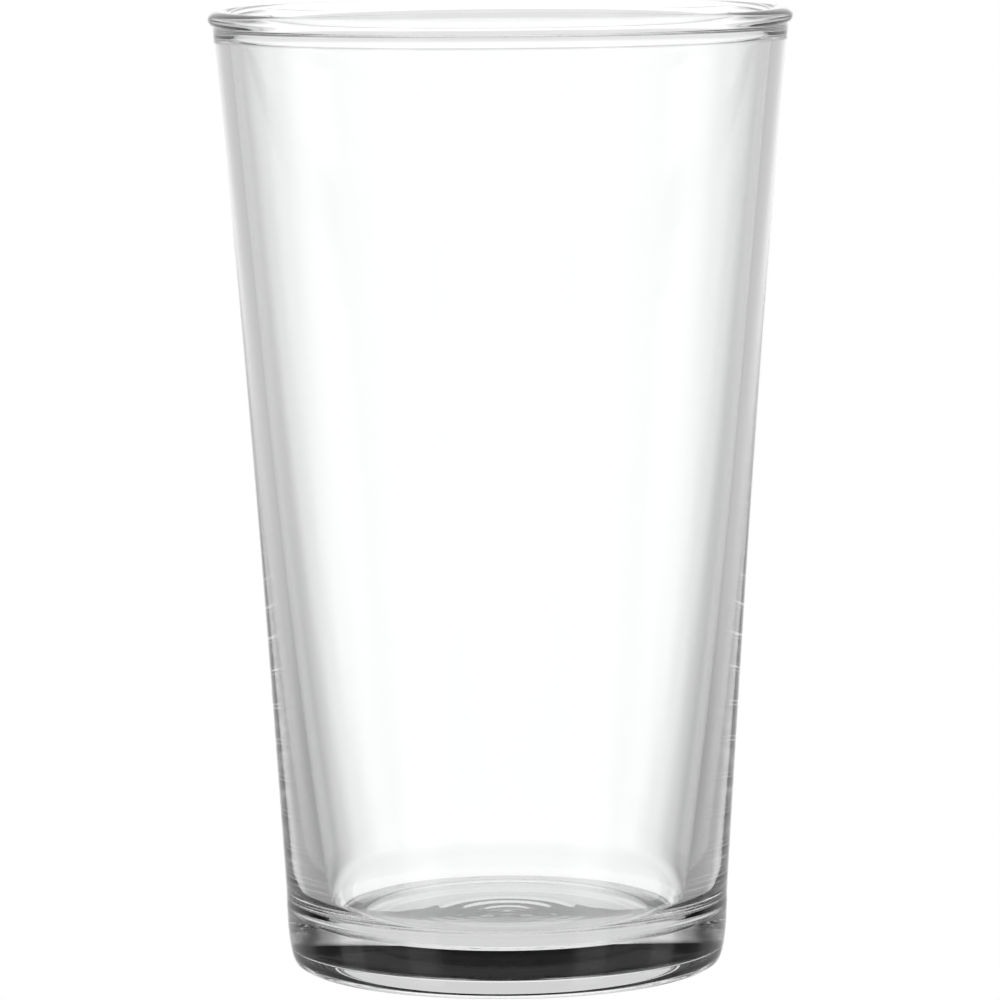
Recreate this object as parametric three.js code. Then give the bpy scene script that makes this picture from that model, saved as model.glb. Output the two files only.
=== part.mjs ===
// Conical pint glass, pressed in one piece from clear soda-lime glass.
// Millimetres, +Z up. The origin is the centre of the ring that the glass stands on.
//
// The glass is one solid of revolution. Its section runs from the axis under the base,
// out over the bearing ring, round the heel and up the outside of the wall, over the
// rolled rim, and down the inside of the wall and round the floor to the axis again.
import * as THREE from 'three';

// Overall sizes.
const HEIGHT = 150.8;           // table to the top of the rim
const RIM_RADIUS = 45.8;        // outermost point of the rolled rim
const HEEL_RADIUS = 35.1;       // outside of the heel band, where the flared wall starts

// Heel: a near-vertical band whose lower edge is rounded, more so towards the table.
const HEEL_HEIGHT = 11.0;       // table to the start of the flared wall
const HEEL_ROUND_WIDTH = 1.6;   // how far the rounding pulls the foot in
const HEEL_LAND = 1.0;          // straight part between that rounding and the flared wall

// Rolled rim: a bead that stands slightly proud of the wall on both sides.
const BEAD_RISE = 1.35;         // from its widest point to its top
const BEAD_OVERHANG = 0.65;     // how far it stands out past the wall under it
const BEAD_INSIDE = 0.6;        // how far it stands in past that wall

// Wall: radius over height at its two ends, and its thickness.
const SLOPE_AT_HEEL = 0.0610;
const SLOPE_AT_RIM = 0.0965;
const WALL_AT_RIM = 2.55;       // thickness under the bead
const WALL_AT_FLOOR = 6.2;      // thickness where the floor's fillet begins
const WALL_TAPER = 2.74;        // power of the thickening: larger keeps it nearer the floor

// Floor and underside.
const BASE_THICKNESS = 3.6;     // glass between the floor and the edge of the recess
const FLOOR_FILLET = 7.2;       // radius of the corner between wall and floor
const BEARING_WIDTH = 3.0;      // width of the ring that the glass stands on
const RECESS_DRAFT = 0.05;      // how far the step inside that ring leans inwards
const RECESS_HEIGHT = 2.8;      // table to the top of the step
const RECESS_SAG = 1.0;         // how much lower the underside is in its middle

// Fineness of the mesh.
const SEGMENTS = 84;
const HEEL_STEPS = 5;
const WALL_STEPS = 11;
const BEAD_STEPS = 10;
const FILLET_STEPS = 8;
const RECESS_STEPS = 4;

const footRadius = HEEL_RADIUS - HEEL_ROUND_WIDTH;
const bearingInner = footRadius - BEARING_WIDTH;
const heelRoundHeight = HEEL_HEIGHT - HEEL_LAND;
const floorHeight = RECESS_HEIGHT + BASE_THICKNESS;
const beadHalf = (WALL_AT_RIM + BEAD_OVERHANG + BEAD_INSIDE) / 2;
const beadMiddle = new THREE.Vector2(RIM_RADIUS - beadHalf, HEIGHT - BEAD_RISE);
const wallTopRadius = RIM_RADIUS - BEAD_OVERHANG;

/** Height at which the bead's outline has the given radius, below its widest point. */
function beadUnderside(radius) {
  const across = (radius - beadMiddle.x) / beadHalf;
  return beadMiddle.y - BEAD_RISE * Math.sqrt(1 - across ** 2);
}

// Outside of the flared wall, as a curve from the heel to the bead. Its control points
// are evenly spaced in height, so the curve's parameter is the share of that height.
const wallTop = beadUnderside(wallTopRadius);
const wallRise = wallTop - HEEL_HEIGHT;
const wallCurve = new THREE.CubicBezierCurve(
  new THREE.Vector2(HEEL_RADIUS, HEEL_HEIGHT),
  new THREE.Vector2(HEEL_RADIUS + (SLOPE_AT_HEEL * wallRise) / 3, HEEL_HEIGHT + wallRise / 3),
  new THREE.Vector2(wallTopRadius - (SLOPE_AT_RIM * wallRise) / 3, wallTop - wallRise / 3),
  new THREE.Vector2(wallTopRadius, wallTop),
);

// The fillet's arc meets the inside of the wall where both lean by the same angle.
const filletCentreHeight = floorHeight + FLOOR_FILLET;
const taperSlope = (WALL_TAPER * (WALL_AT_FLOOR - WALL_AT_RIM)) / (wallTop - filletCentreHeight);
const filletLean = Math.atan(SLOPE_AT_HEEL + taperSlope);
const filletTop = filletCentreHeight - FLOOR_FILLET * Math.sin(filletLean);

/** Outside radius of the flared wall at height z. */
function outerRadius(z) {
  return wallCurve.getPoint((z - HEEL_HEIGHT) / wallRise).x;
}

/** Inside radius of the wall at height z, above the fillet. */
function innerRadius(z) {
  const above = (z - filletTop) / (wallTop - filletTop);
  const extra = (WALL_AT_FLOOR - WALL_AT_RIM) * (1 - above) ** WALL_TAPER;
  return outerRadius(z) - WALL_AT_RIM - extra;
}

/** Calls point(t) for t from 0 to 1 in the given number of equal steps. */
function stretch(steps, point) {
  return Array.from({ length: steps + 1 }, (_, i) => point(i / steps));
}

/** The recess under the base, from the axis to the bearing ring. */
function recess() {
  const edge = bearingInner - RECESS_DRAFT;
  const ceiling = stretch(RECESS_STEPS, (t) => {
    return new THREE.Vector2(edge * t, RECESS_HEIGHT - RECESS_SAG * (1 - t ** 2));
  });
  return [...ceiling, new THREE.Vector2(bearingInner, 0)];
}

/** The rounded heel, from the bearing ring to the flared wall. */
function heel() {
  return stretch(HEEL_STEPS, (t) => {
    const angle = (t * Math.PI) / 2;
    const inset = HEEL_ROUND_WIDTH * (1 - Math.sin(angle));
    return new THREE.Vector2(HEEL_RADIUS - inset, heelRoundHeight * (1 - Math.cos(angle)));
  });
}

/** The outside of the flared wall, upwards. */
function outerWall() {
  return wallCurve.getPoints(WALL_STEPS);
}

/** The bead, from the outside of the wall over the top to the inside of the wall. */
function bead() {
  const first = -Math.acos(1 - BEAD_OVERHANG / beadHalf);
  const last = Math.PI + Math.acos(1 - BEAD_INSIDE / beadHalf);
  return stretch(BEAD_STEPS, (t) => {
    const angle = THREE.MathUtils.lerp(first, last, t);
    const across = beadHalf * Math.cos(angle);
    return new THREE.Vector2(beadMiddle.x + across, beadMiddle.y + BEAD_RISE * Math.sin(angle));
  });
}

/** The inside of the wall, downwards to the fillet. */
function innerWall() {
  return stretch(WALL_STEPS, (t) => {
    const z = THREE.MathUtils.lerp(wallTop, filletTop, t);
    return new THREE.Vector2(innerRadius(z), z);
  });
}

/** The fillet, from the inside of the wall down to the floor. */
function fillet() {
  const centreRadius = innerRadius(filletTop) - FLOOR_FILLET * Math.cos(filletLean);
  return stretch(FILLET_STEPS, (t) => {
    const angle = THREE.MathUtils.lerp(-filletLean, -Math.PI / 2, t);
    const across = FLOOR_FILLET * Math.cos(angle);
    const up = FLOOR_FILLET * Math.sin(angle);
    return new THREE.Vector2(centreRadius + across, filletCentreHeight + up);
  });
}

/** The whole section, without points that fall on top of one another. */
function section() {
  const middleOfFloor = new THREE.Vector2(0, floorHeight);
  const all = [recess(), heel(), outerWall(), bead(), innerWall(), fillet(), middleOfFloor].flat();
  return all.filter((point, i) => i === 0 || point.distanceTo(all[i - 1]) > 0.01);
}

const glass = new THREE.MeshStandardMaterial({
  name: 'clear_glass',
  color: 0xf2f5f4,
  roughness: 0.02,
  metalness: 0,
  transparent: true,
  opacity: 0.35,
});

const body = new THREE.Mesh(new THREE.LatheGeometry(section(), SEGMENTS), glass);
body.name = 'glass_body';
body.rotation.x = Math.PI / 2; // the section is turned about Y, and the glass stands along Z

const pint = new THREE.Group();
pint.name = 'pint_glass';
pint.add(body);

export default pint;
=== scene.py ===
"""Looks of a conical pint glass: one piece of clear pressed glass on a pale table.

The fine glass surface is turned here from the same sizes as the solid that it stands for,
with the knurling under the base and the faint rings of the floor added. It stands in a
bright-field studio: white behind the glass and grey to dark at the sides.
"""
import logging
import math
from collections.abc import Iterable, Mapping, Sequence
from dataclasses import dataclass, field
from enum import Enum

import bpy
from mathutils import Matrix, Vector


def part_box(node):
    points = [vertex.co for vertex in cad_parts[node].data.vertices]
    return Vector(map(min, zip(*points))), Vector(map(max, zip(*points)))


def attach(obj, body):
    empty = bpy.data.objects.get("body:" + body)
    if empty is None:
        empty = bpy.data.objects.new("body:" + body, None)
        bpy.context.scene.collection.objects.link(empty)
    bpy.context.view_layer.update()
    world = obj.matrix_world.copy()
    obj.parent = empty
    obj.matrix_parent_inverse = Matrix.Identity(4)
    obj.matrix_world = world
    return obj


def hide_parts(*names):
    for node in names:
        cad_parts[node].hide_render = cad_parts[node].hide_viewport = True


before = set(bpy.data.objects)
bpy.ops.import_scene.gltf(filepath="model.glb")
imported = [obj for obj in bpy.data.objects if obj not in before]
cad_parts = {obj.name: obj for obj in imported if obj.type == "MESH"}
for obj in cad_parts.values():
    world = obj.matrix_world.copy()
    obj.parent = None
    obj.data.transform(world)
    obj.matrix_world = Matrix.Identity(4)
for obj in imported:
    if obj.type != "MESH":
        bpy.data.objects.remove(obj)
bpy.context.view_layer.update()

LOG = logging.getLogger("pint_glass")
MM = 0.001
RIB_VERTICES = 4
WHITE = (1.0, 1.0, 1.0, 1.0)
SUPPORT = 0.3
RING_STEPS = 96

Point = tuple[float, float]


class NodeKind(Enum):
    """Shader nodes that this scene uses."""

    MATH = "ShaderNodeMath"
    RAMP = "ShaderNodeValToRGB"
    COORDINATES = "ShaderNodeTexCoord"
    SEPARATE = "ShaderNodeSeparateXYZ"
    MAPPING = "ShaderNodeMapping"
    NOISE = "ShaderNodeTexNoise"
    BUMP = "ShaderNodeBump"
    LIGHT_PATH = "ShaderNodeLightPath"
    PRINCIPLED = "ShaderNodeBsdfPrincipled"
    EMISSION = "ShaderNodeEmission"
    BACKGROUND = "ShaderNodeBackground"
    MATERIAL_OUTPUT = "ShaderNodeOutputMaterial"
    WORLD_OUTPUT = "ShaderNodeOutputWorld"


class Value:
    """One output socket, on which arithmetic adds the Math nodes that work it out."""

    def __init__(self, graph: "Graph", socket: bpy.types.NodeSocket) -> None:
        """Wraps a socket of the graph."""
        self.graph = graph
        self.socket = socket

    def _math(self, operation: str, *operands: "Value | float") -> "Value":
        """Adds one Math node.

        Args:
            operation: the Math node's operation.
            operands: its inputs in order.

        Returns:
            The node's output.
        """
        inputs = dict(enumerate(operands))
        return self.graph.add(NodeKind.MATH, {"operation": operation}, inputs)["Value"]

    def __add__(self, other: "Value | float") -> "Value":
        """This value plus another."""
        return self._math("ADD", self, other)

    def __radd__(self, other: float) -> "Value":
        """A number plus this value."""
        return self._math("ADD", other, self)

    def __sub__(self, other: "Value | float") -> "Value":
        """This value less another."""
        return self._math("SUBTRACT", self, other)

    def __rsub__(self, other: float) -> "Value":
        """A number less this value."""
        return self._math("SUBTRACT", other, self)

    def __mul__(self, other: "Value | float") -> "Value":
        """This value times another."""
        return self._math("MULTIPLY", self, other)

    def __rmul__(self, other: float) -> "Value":
        """A number times this value."""
        return self._math("MULTIPLY", other, self)

    def __truediv__(self, other: "Value | float") -> "Value":
        """This value over another."""
        return self._math("DIVIDE", self, other)

    def __abs__(self) -> "Value":
        """The size of this value, without its sign."""
        return self._math("ABSOLUTE", self)

    def angle_from(self, other: "Value") -> "Value":
        """The angle whose tangent is this value over another."""
        return self._math("ARCTAN2", self, other)

    def arcsine(self) -> "Value":
        """The angle whose sine is this value."""
        return self._math("ARCSINE", self)

    def ramp(self, stops: Sequence[tuple[float, float]]) -> "Value":
        """A smooth grey curve through stops, each a place from 0 to 1 and a grey."""
        node = self.graph.add(NodeKind.RAMP, {"stops": stops}, {"Fac": self})
        return node["Color"]

    def by_degrees(self, lowest: float, stops: Sequence[tuple[float, float]]) -> "Value":
        """A smooth grey curve over this angle.

        Args:
            lowest: the angle in degrees at the ramp's start. It spans half a turn from there.
            stops: angles in degrees, and the grey at each.

        Returns:
            The grey at this angle, which is in radians.
        """
        share = self / math.pi - lowest / 180
        return share.ramp([((angle - lowest) / 180, grey) for angle, grey in stops])


class Added:
    """A node that was added, whose outputs are read by name."""

    def __init__(self, graph: "Graph", node: bpy.types.Node) -> None:
        """Wraps a node of the graph."""
        self.graph = graph
        self.node = node

    def __getitem__(self, name: str) -> Value:
        """The output of that name."""
        return Value(self.graph, self.node.outputs[name])


class Graph:
    """A node tree that starts empty."""

    def __init__(self, owner: bpy.types.Material | bpy.types.World) -> None:
        """Clears the owner's node tree and builds in it."""
        owner.use_nodes = True
        self.tree = owner.node_tree
        self.tree.nodes.clear()

    def add(
        self,
        kind: NodeKind,
        settings: Mapping[str, object] | None = None,
        inputs: Mapping[str | int, object] | None = None,
    ) -> Added:
        """Adds a node.

        Args:
            kind: the type of node.
            settings: its own settings, which are set before its sockets. "stops" fills a
                colour ramp with greys and makes it smooth.
            inputs: a number, colour, vector or Value for each socket, by name or place.

        Returns:
            The node, whose outputs are read by name.
        """
        node = self.tree.nodes.new(kind.value)
        for name, setting in (settings or {}).items():
            if name == "stops":
                self._fill_ramp(node.color_ramp, setting)
            else:
                setattr(node, name, setting)
        for name, value in (inputs or {}).items():
            if isinstance(value, Value):
                self.tree.links.new(value.socket, node.inputs[name])
            else:
                node.inputs[name].default_value = value
        return Added(self, node)

    @staticmethod
    def _fill_ramp(ramp: bpy.types.ColorRamp, stops: Sequence[tuple[float, float]]) -> None:
        """Sets a ramp's stops to the greys given, eased between them."""
        ramp.interpolation = "EASE"
        while len(ramp.elements) < len(stops):
            ramp.elements.new(1.0)
        for element, (place, grey) in zip(ramp.elements, stops):
            element.position = place
            element.color = (grey, grey, grey, 1.0)


@dataclass(frozen=True)
class ClearGlass:
    """Colourless soda-lime glass with a fire-polished surface.

    The surface is very slightly wavy, as pressed glass is. The ribs that it stands on are
    scuffed white by the table, and faint wiping marks lie on the rest.
    """

    index: float = 1.52
    tint: tuple[float, float, float] = (0.985, 0.99, 0.988)
    stretch: tuple[float, float, float] = (1.0, 1.0, 0.35)
    wave_size: float = 9.0 * MM
    wave_height: float = 0.004 * MM
    smudge_size: float = 14.0 * MM
    smudge_roughness: float = 0.012
    scuff_size: float = 1.2 * MM
    scuff_height: float = 0.05 * MM
    scuff_roughness: float = 0.45

    def noise(self, graph: Graph, size: float, detail: float) -> Value:
        """Cloudy greys over the surface, longer upwards than across.

        Args:
            graph: the material's graph.
            size: width of a cloud in metres.
            detail: how many finer octaves are laid on it.

        Returns:
            A grey from 0 to 1.
        """
        place = graph.add(NodeKind.COORDINATES)["Object"]
        stretched = graph.add(NodeKind.MAPPING, inputs={"Vector": place, "Scale": self.stretch})
        inputs = {"Vector": stretched["Vector"], "Scale": 1 / size, "Detail": detail}
        return graph.add(NodeKind.NOISE, inputs=inputs)["Fac"]

    def roughness(self, graph: Graph) -> Value:
        """Scuffed on the ribs that touch the table, faintly smudged elsewhere."""
        place = graph.add(NodeKind.COORDINATES)["Object"]
        height = graph.add(NodeKind.SEPARATE, inputs={"Vector": place})["Z"]
        touching = (height / self.scuff_height).ramp([(0.0, 1.0), (1.0, 0.0)])
        scuffs = touching * self.noise(graph, self.scuff_size, 3.0).ramp([(0.3, 0.3), (0.7, 1.0)])
        smudges = self.noise(graph, self.smudge_size, 4.0).ramp([(0.5, 0.0), (0.75, 1.0)])
        return scuffs * self.scuff_roughness + smudges * self.smudge_roughness

    def material(self) -> bpy.types.Material:
        """Makes the material.

        Returns:
            A glass that refracts and reflects.
        """
        material = bpy.data.materials.new("clear_glass")
        graph = Graph(material)
        waves = graph.add(
            NodeKind.BUMP,
            inputs={"Height": self.noise(graph, self.wave_size, 1.0), "Distance": self.wave_height},
        )
        shader = graph.add(
            NodeKind.PRINCIPLED,
            inputs={
                "Base Color": (*self.tint, 1.0),
                "Roughness": self.roughness(graph),
                "Normal": waves["Normal"],
                "IOR": self.index,
                "Transmission Weight": 1.0,
            },
        )
        graph.add(NodeKind.MATERIAL_OUTPUT, inputs={"Surface": shader["BSDF"]})
        return material


@dataclass(frozen=True)
class EvenLight:
    """A grey that glows evenly, for the table and the other staging."""

    brightness: float = 1.0

    def material(self) -> bpy.types.Material:
        """Makes the material."""
        material = bpy.data.materials.new("even_light")
        graph = Graph(material)
        light = graph.add(NodeKind.EMISSION, inputs={"Strength": self.brightness})
        graph.add(NodeKind.MATERIAL_OUTPUT, inputs={"Surface": light["Emission"]})
        return material


@dataclass(frozen=True)
class Ring:
    """One ring of a turned surface.

    A ribbed ring has several times the vertices of a plain one, and every rib's crest lies
    at the ring's own height with the grooves beside it cut upwards.
    """

    radius: float
    height: float
    ribbed: bool = False
    groove: float = 0.0


def arc(centre: Point, reach: Point, first: float, last: float, steps: int) -> list[Point]:
    """Points on an arc of an ellipse.

    Args:
        centre: its centre, as radius and height.
        reach: its half-width and half-height.
        first: the angle of the first point in radians, from straight outwards.
        last: the angle of the last point.
        steps: the number of equal steps between them.

    Returns:
        The points in order.
    """
    angles = [first + (last - first) * i / steps for i in range(steps + 1)]
    return [
        (centre[0] + reach[0] * math.cos(a), centre[1] + reach[1] * math.sin(a)) for a in angles
    ]


def line(start: Point, end: Point, steps: int) -> list[Point]:
    """Evenly spaced points from start to end, in the given number of steps."""
    shares = [i / steps for i in range(steps + 1)]
    return [(start[0] + (end[0] - start[0]) * s, start[1] + (end[1] - start[1]) * s) for s in shares]


def joined(stretches: Iterable[Sequence[Point]]) -> list[Point]:
    """Stretches of outline as one, with the points that they share kept once."""
    points: list[Point] = []
    for point in (p for stretch in stretches for p in stretch):
        if not points or math.dist(point, points[-1]) > 0.005 * MM:
            points.append(point)
    return points


def rounded(points: Sequence[Point], radius: float, steps: int) -> list[Point]:
    """An outline with its inner corners rounded.

    A point beside each end of a rounding keeps the flat sides flat under smooth shading.

    Args:
        points: the corners in order. The first and the last stay as they are.
        radius: the length that each rounding takes off the two sides that meet there.
        steps: the number of steps round each corner.

    Returns:
        The outline's points.
    """
    outline = [points[0]]
    for before, corner, after in zip(points, points[1:], points[2:]):
        back = Vector(before) - Vector(corner)
        on = Vector(after) - Vector(corner)
        start = Vector(corner) + back.normalized() * radius
        end = Vector(corner) + on.normalized() * radius
        outline.append(tuple(start + back.normalized() * radius * SUPPORT))
        for i in range(steps + 1):
            share = i / steps
            first = start.lerp(Vector(corner), share)
            second = Vector(corner).lerp(end, share)
            outline.append(tuple(first.lerp(second, share)))
        outline.append(tuple(end + on.normalized() * radius * SUPPORT))
    outline.append(points[-1])
    return outline


def stitched(below: Sequence[int], above: Sequence[int]) -> list[tuple[int, ...]]:
    """Faces between two closed rings of vertices that start at the same angle.

    Args:
        below: the vertices of the first ring, or one alone on the axis.
        above: those of the next. Either ring may have several times as many as the other.

    Returns:
        Quads between equal rings, and otherwise fans of triangles.
    """
    cells = min(len(below), len(above))
    if cells == 1:
        cells = max(len(below), len(above))
    faces: list[tuple[int, ...]] = []
    for cell in range(cells):
        low = cell_side(below, cell, cells)
        high = cell_side(above, cell, cells)
        if len(low) == len(high):
            faces.append((low[0], low[1], high[1], high[0]))
            continue
        few, many, turned = (low, high, False) if len(low) < len(high) else (high, low, True)
        fan = []
        half = len(many) // 2
        fan += [(few[0], many[i + 1], many[i]) for i in range(half)]
        if len(few) == 2:
            fan.append((few[0], few[1], many[half]))
            fan += [(few[1], many[i + 1], many[i]) for i in range(half, len(many) - 1)]
        faces += [tuple(reversed(face)) if turned else face for face in fan]
    return faces


def cell_side(ring: Sequence[int], cell: int, cells: int) -> list[int]:
    """The vertices of a ring along one cell, or the only one it has."""
    if len(ring) == 1:
        return [ring[0]]
    share = len(ring) // cells
    return [ring[(cell * share + i) % len(ring)] for i in range(share + 1)]


@dataclass
class RolledRim:
    """The fire-polished bead round the mouth."""

    radius: float
    top: float
    width: float = 3.8 * MM
    rise: float = 1.35 * MM
    overhang: float = 0.65 * MM
    steps: int = 40

    @property
    def middle(self) -> Point:
        """The centre of the bead's section."""
        return (self.radius - self.width / 2, self.top - self.rise)

    def underside(self, radius: float) -> Point:
        """The point below the bead's middle where its outline has the given radius."""
        across = (radius - self.middle[0]) / (self.width / 2)
        return (radius, self.middle[1] - self.rise * math.sqrt(1 - across**2))

    def outline(self, inside: float) -> list[Point]:
        """The bead's outline.

        Args:
            inside: inside radius of the wall under the bead.

        Returns:
            Points from the outside of the wall over the top to the inside.
        """
        half = self.width / 2
        outer = (half - self.overhang) / half
        inner = min((self.middle[0] - inside) / half, 1.0)
        first, last = -math.acos(outer), math.pi + math.acos(inner)
        return arc(self.middle, (half, self.rise), first, last, self.steps)


@dataclass
class Heel:
    """The near-vertical band above the table, and its rounded lower edge."""

    radius: float = 35.1 * MM
    height: float = 11.0 * MM
    round_width: float = 1.6 * MM
    round_height: float = 10.0 * MM
    steps: int = 28

    @property
    def foot(self) -> Point:
        """Where the heel meets the table."""
        return (self.radius - self.round_width, 0.0)

    def outline(self) -> list[Point]:
        """Points from the table to the start of the flared wall."""
        centre = (self.radius - self.round_width, self.round_height)
        reach = (self.round_width, self.round_height)
        return [*arc(centre, reach, -math.pi / 2, 0.0, self.steps), (self.radius, self.height)]


@dataclass
class FlaredWall:
    """The wall between heel and rim. Slopes are radius over height."""

    start: Point
    end: Point
    slope_at_heel: float = 0.0610
    slope_at_rim: float = 0.0965
    at_rim: float = 2.55 * MM
    at_floor: float = 6.2 * MM
    taper: float = 2.74
    steps: int = 52

    @property
    def rise(self) -> float:
        """Height of the wall."""
        return self.end[1] - self.start[1]

    def outside(self, height: float) -> float:
        """Outside radius at a height, on a smooth curve with the two slopes at its ends."""
        t = (height - self.start[1]) / self.rise
        first = self.start[0] + self.slope_at_heel * self.rise / 3
        second = self.end[0] - self.slope_at_rim * self.rise / 3
        ends = self.start[0] * (1 - t) ** 3 + self.end[0] * t**3
        return ends + 3 * first * t * (1 - t) ** 2 + 3 * second * t**2 * (1 - t)

    def inside(self, height: float, lowest: float) -> float:
        """Inside radius at a height.

        Args:
            height: height above the table.
            lowest: height at which the wall is thickest.

        Returns:
            The radius.
        """
        above = (height - lowest) / (self.end[1] - lowest)
        extra = (self.at_floor - self.at_rim) * (1 - above) ** self.taper
        return self.outside(height) - self.at_rim - extra

    def outer_outline(self) -> list[Point]:
        """Points up the outside."""
        heights = [h for _, h in line(self.start, self.end, self.steps)]
        return [(self.outside(h), h) for h in heights]

    def inner_outline(self, lowest: float) -> list[Point]:
        """Points down the inside, to the height where the wall is thickest."""
        heights = [h for _, h in line(self.end, (0.0, lowest), self.steps)]
        return [(self.inside(h, lowest), h) for h in heights]


@dataclass
class InnerFloor:
    """The floor inside the glass and the fillet round it."""

    thickness: float = 6.4 * MM
    fillet: float = 7.2 * MM
    ripple: float = 0.016 * MM
    ripple_length: float = 3.4 * MM
    ripple_reach: float = 13.0 * MM
    steps: int = 36
    floor_steps: int = 44

    def lean(self, wall: FlaredWall) -> float:
        """Angle by which the inside of the wall leans outwards above the fillet."""
        depth = wall.end[1] - self.thickness - self.fillet
        return math.atan(wall.slope_at_heel + wall.taper * (wall.at_floor - wall.at_rim) / depth)

    def top(self, wall: FlaredWall) -> float:
        """Height at which the fillet meets the wall."""
        return self.thickness + self.fillet * (1 - math.sin(self.lean(wall)))

    def height(self, radius: float) -> float:
        """Height of the floor, with faint rings that die away from its middle."""
        fade = math.exp(-((radius / self.ripple_reach) ** 4))
        return self.thickness + self.ripple * fade * math.cos(2 * math.pi * radius / self.ripple_length)

    def outline(self, wall: FlaredWall) -> list[Point]:
        """Points from the wall down the fillet and across the floor to the axis."""
        lean = self.lean(wall)
        top = self.top(wall)
        edge = wall.inside(top, top) - self.fillet * math.cos(lean)
        centre = (edge, self.thickness + self.fillet)
        corner = arc(centre, (self.fillet, self.fillet), -lean, -math.pi / 2, self.steps)
        radii = [edge * (1 - i / self.floor_steps) for i in range(self.floor_steps + 1)]
        return joined([corner, [(r, self.height(r)) for r in radii]])


@dataclass
class Underside:
    """The bearing ring and the knurled recess inside it."""

    foot: Point
    bearing_inner: float = 30.5 * MM
    draft: float = 0.05 * MM
    recess_height: float = 2.8 * MM
    sag: float = 1.0 * MM
    edge: float = 0.2 * MM
    edge_steps: int = 3
    plain_steps: int = 22
    knurl_inner: float = 21.0 * MM
    knurl_outer: float = 28.0 * MM
    groove: float = 0.035 * MM
    knurl_steps: int = 6

    @property
    def brink(self) -> float:
        """Radius of the recess at its top."""
        return self.bearing_inner - self.draft

    def ceiling(self, radius: float) -> float:
        """Height of the recess over the table, which sags towards the middle."""
        return self.recess_height - self.sag * (1 - (radius / self.brink) ** 2)

    def knurling(self) -> list[Ring]:
        """The ribbed rings, whose grooves fade out at both edges of the knurling."""
        rings = []
        for i in range(self.knurl_steps + 1):
            share = i / self.knurl_steps
            depth = self.groove * min(1.0, 3 * share, 3 * (1 - share))
            radius = self.knurl_inner + (self.knurl_outer - self.knurl_inner) * share
            rings.append(Ring(radius, self.ceiling(radius), True, depth))
        return rings

    def rings(self) -> list[Ring]:
        """Rings from the axis out to the heel."""
        start = self.brink - 1.5 * MM
        radii = [start * i / self.plain_steps for i in range(self.plain_steps + 1)]
        plain = [r for r in radii[:-1] if not self.knurl_inner < r < self.knurl_outer]
        corners = [(radii[-1], self.ceiling(start)), (self.brink, self.recess_height)]
        corners += [(self.bearing_inner, 0.0), self.foot]
        rings = [Ring(r, self.ceiling(r)) for r in plain] + self.knurling()
        rings.sort(key=lambda ring: ring.radius)
        return rings + [Ring(*point) for point in rounded(corners, self.edge, self.edge_steps)]


@dataclass
class PintGlass:
    """The whole glass: a turned surface whose sections are the parts below."""

    rim_radius: float
    height: float
    finish: ClearGlass = field(default_factory=ClearGlass)
    segments: int = 320

    def __post_init__(self) -> None:
        """Makes the sections, each ending where the next one starts."""
        self.rim = RolledRim(self.rim_radius, self.height)
        self.heel = Heel()
        wall_top = self.rim.underside(self.rim_radius - self.rim.overhang)
        self.wall = FlaredWall((self.heel.radius, self.heel.height), wall_top)
        self.floor = InnerFloor()
        self.underside = Underside(self.heel.foot)

    def rings(self) -> list[Ring]:
        """Rings from the axis under the base, round the section to the axis on the floor."""
        under_rim = self.wall.end[0] - self.wall.at_rim
        lowest = self.floor.top(self.wall)
        above = joined(
            [
                self.heel.outline(),
                self.wall.outer_outline(),
                self.rim.outline(under_rim),
                self.wall.inner_outline(lowest),
                self.floor.outline(self.wall),
            ]
        )
        return [*self.underside.rings(), *(Ring(*point) for point in above[1:])]

    def ring_vertices(self, ring: Ring) -> list[tuple[float, float, float]]:
        """Vertices round one ring, with its ribs if it has them.

        Args:
            ring: the ring.

        Returns:
            One vertex for each segment, or several where it is ribbed.
        """
        count = self.segments * (RIB_VERTICES if ring.ribbed else 1)
        vertices = []
        for i in range(count):
            angle = 2 * math.pi * i / count
            groove = ring.groove * (1 - math.cos(2 * math.pi * i / RIB_VERTICES)) / 2
            across, along = ring.radius * math.cos(angle), ring.radius * math.sin(angle)
            vertices.append((across, along, ring.height + groove))
        return vertices

    def mesh(self) -> bpy.types.Mesh:
        """Turns the rings into a closed surface.

        Returns:
            The mesh, facing out.
        """
        rings = self.rings()
        vertices = [(0.0, 0.0, rings[0].height)]
        faces = []
        below: list[int] = [0]
        for ring in rings[1:-1]:
            start = len(vertices)
            vertices += self.ring_vertices(ring)
            around = list(range(start, len(vertices)))
            faces += stitched(below, around)
            below = around
        faces += stitched(below, [len(vertices)])
        vertices.append((0.0, 0.0, rings[-1].height))
        mesh = bpy.data.meshes.new("pint_glass")
        mesh.from_pydata(vertices, [], faces)
        mesh.shade_smooth()
        return mesh

    def build(self) -> bpy.types.Object:
        """Makes the glass, hangs it under the root body and hides the CAD part glass_body.

        Returns:
            The glass's object.
        """
        glass = bpy.data.objects.new("pint_glass", self.mesh())
        bpy.context.collection.objects.link(glass)
        glass.data.materials.append(self.finish.material())
        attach(glass, "root")
        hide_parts("glass_body")
        return glass


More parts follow.
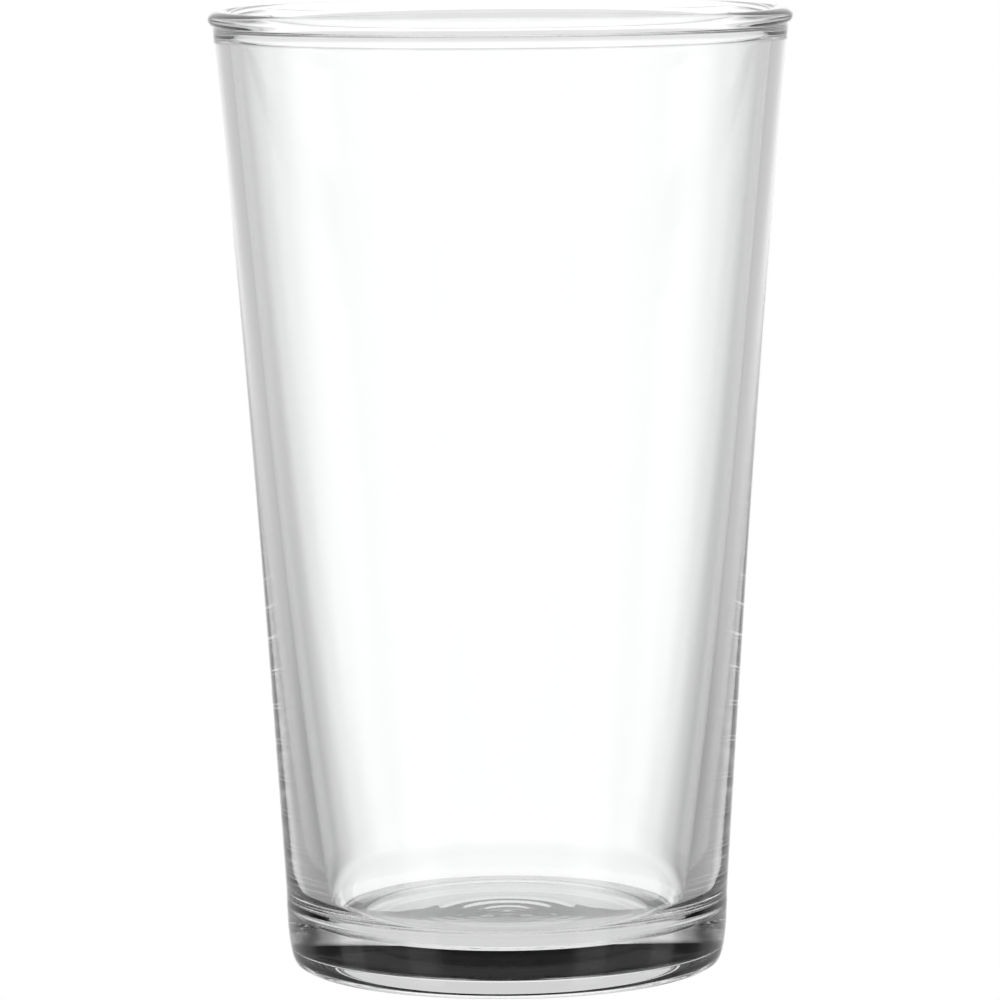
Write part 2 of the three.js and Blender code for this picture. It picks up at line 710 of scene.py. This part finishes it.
@dataclass
class Studio:
    """Table, surroundings and camera.

    The glass is lit as in a bright field: a white screen behind it, weaker ones at its sides,
    and grey and dark gaps between them that draw its edges. Each
    curve is a list of angles in degrees, turned from straight behind the glass, and the grey
    seen there: near the horizon, looking down, or looking up.

    The camera sees only the table and the white behind it. The shade and the flag are seen
    only through and in the glass.
    """

    table: EvenLight = field(default_factory=EvenLight)
    level: tuple[tuple[float, float], ...] = (
        (0, 1.22), (8, 1.16), (11, 1.02), (16, 0.73), (20, 0.61), (34, 0.56), (50, 0.42),
        (62, 0.1), (79, 0.12), (85, 0.62), (95, 0.62), (101, 0.1), (124, 0.1), (130, 0.62),
        (140, 0.62), (147, 0.04), (180, 0.03),
    )
    down: tuple[tuple[float, float], ...] = (
        (0, 1.12), (10, 1.04), (14, 0.94), (18, 0.72), (22, 0.46), (27, 0.4), (34, 0.37),
        (60, 0.35), (72, 0.2), (90, 0.4), (108, 0.2), (135, 0.45), (152, 0.05), (180, 0.04),
    )
    up: tuple[tuple[float, float], ...] = (
        (0, 0.86), (38, 0.8), (50, 0.35), (62, 0.01), (180, 0.01),
    )
    overhead: float = 0.84
    flag_height: float = 152.0 * MM
    flag_start: float = math.radians(6.0)
    flag_end: float = math.radians(18.8)
    flag_brightness: float = 0.006
    shade_radius: float = 33.0 * MM
    shade_brightness: float = 0.7
    shade_gap: float = 0.02 * MM
    table_size: float = 30.0
    lens: float = 211.0
    distance: float = 0.9193
    camera_height: float = 0.18453
    camera_tilt: float = math.radians(6.897)
    camera_turn: float = 0.00068
    camera_roll: float = -0.0078

    @staticmethod
    def circle(radius: float, height: float) -> list[tuple[float, float, float]]:
        """Vertices round a level circle."""
        turns = [2 * math.pi * i / RING_STEPS for i in range(RING_STEPS)]
        return [(radius * math.cos(turn), radius * math.sin(turn), height) for turn in turns]

    @staticmethod
    def stage(
        name: str,
        vertices: Sequence[tuple[float, float, float]],
        faces: Sequence[tuple[int, ...]],
        finish: EvenLight,
    ) -> bpy.types.Object:
        """Stages an evenly lit surface that throws no shadow.

        Args:
            name: its name.
            vertices: its vertices.
            faces: its faces.
            finish: its finish.

        Returns:
            Its object.
        """
        mesh = bpy.data.meshes.new(name)
        mesh.from_pydata(vertices, [], faces)
        mesh.materials.append(finish.material())
        piece = bpy.data.objects.new(name, mesh)
        bpy.context.collection.objects.link(piece)
        piece.visible_diffuse = False
        piece.visible_shadow = False
        return piece

    def build_table(self) -> None:
        """Lays the table, which only the camera sees."""
        half = self.table_size / 2
        corners = [(-half, -half, 0.0), (half, -half, 0.0), (half, half, 0.0), (-half, half, 0.0)]
        table = self.stage("table", corners, [(0, 1, 2, 3)], self.table)
        table.visible_glossy = False
        table.visible_transmission = False

    def build_shade(self) -> None:
        """Lays the faint shade under the glass, which is seen only through the glass."""
        circle = self.circle(self.shade_radius, -self.shade_gap)
        faces = [tuple(range(RING_STEPS))]
        shade = self.stage("contact_shade", circle, faces, EvenLight(self.shade_brightness))
        shade.visible_camera = False
        shade.visible_glossy = False

    def build_flag(self) -> None:
        """Hangs a flat black ring level with the rim, so that only the foot sees it."""
        inner = self.circle(self.flag_height / math.tan(self.flag_end), self.flag_height)
        outer = self.circle(self.flag_height / math.tan(self.flag_start), self.flag_height)
        faces = stitched(range(RING_STEPS), range(RING_STEPS, 2 * RING_STEPS))
        flag = self.stage("black_flag", inner + outer, faces, EvenLight(self.flag_brightness))
        flag.visible_camera = False

    def build_world(self) -> None:
        """Lights the room from all round."""
        world = bpy.data.worlds.new("studio")
        bpy.context.scene.world = world
        graph = Graph(world)
        direction = graph.add(NodeKind.COORDINATES)["Generated"]
        parts = graph.add(NodeKind.SEPARATE, inputs={"Vector": direction})
        turn = abs(parts["X"].angle_from(parts["Y"]))
        climb = parts["Z"].arcsine()
        light = turn.by_degrees(0, self.level)
        layers = (
            (turn.by_degrees(0, self.down), [(-32, 1.0), (-9, 0.0)]),
            (turn.by_degrees(0, self.up), [(4, 0.0), (10, 1.0)]),
            (self.overhead, [(42, 0.0), (58, 1.0)]),
        )
        for layer, reach in layers:
            light = light + climb.by_degrees(-90, reach) * (layer - light)
        seen = graph.add(NodeKind.LIGHT_PATH)["Is Camera Ray"]
        strength = light + seen * (1 - light)
        back = graph.add(NodeKind.BACKGROUND, inputs={"Color": WHITE, "Strength": strength})
        graph.add(NodeKind.WORLD_OUTPUT, inputs={"Surface": back["Background"]})

    def build_camera(self) -> None:
        """Places the camera."""
        data = bpy.data.cameras.new("camera")
        data.lens = self.lens
        data.clip_end = 100.0
        camera = bpy.data.objects.new("camera", data)
        camera.location = (0.0, -self.distance, self.camera_height)
        camera.rotation_euler = (math.pi / 2 - self.camera_tilt, 0.0, self.camera_turn)
        camera.rotation_euler.rotate_axis("Z", self.camera_roll)
        bpy.context.collection.objects.link(camera)
        bpy.context.scene.camera = camera

    def build(self) -> None:
        """Makes everything round the glass."""
        self.build_camera()
        self.build_table()
        self.build_shade()
        self.build_flag()
        self.build_world()
        scene = bpy.context.scene
        scene.view_settings.view_transform = "Standard"
        scene.cycles.max_bounces = 32
        scene.cycles.transmission_bounces = 32
        scene.cycles.glossy_bounces = 32


def main() -> None:
    """Builds the glass and the studio round it."""
    logging.basicConfig(level=logging.INFO, format="%(message)s")
    low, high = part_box("glass_body")
    glass = PintGlass(rim_radius=high.x, height=high.z).build()
    LOG.info("pint glass: %d faces", len(glass.data.polygons))
    Studio().build()


if __name__ == "__main__":
    main()
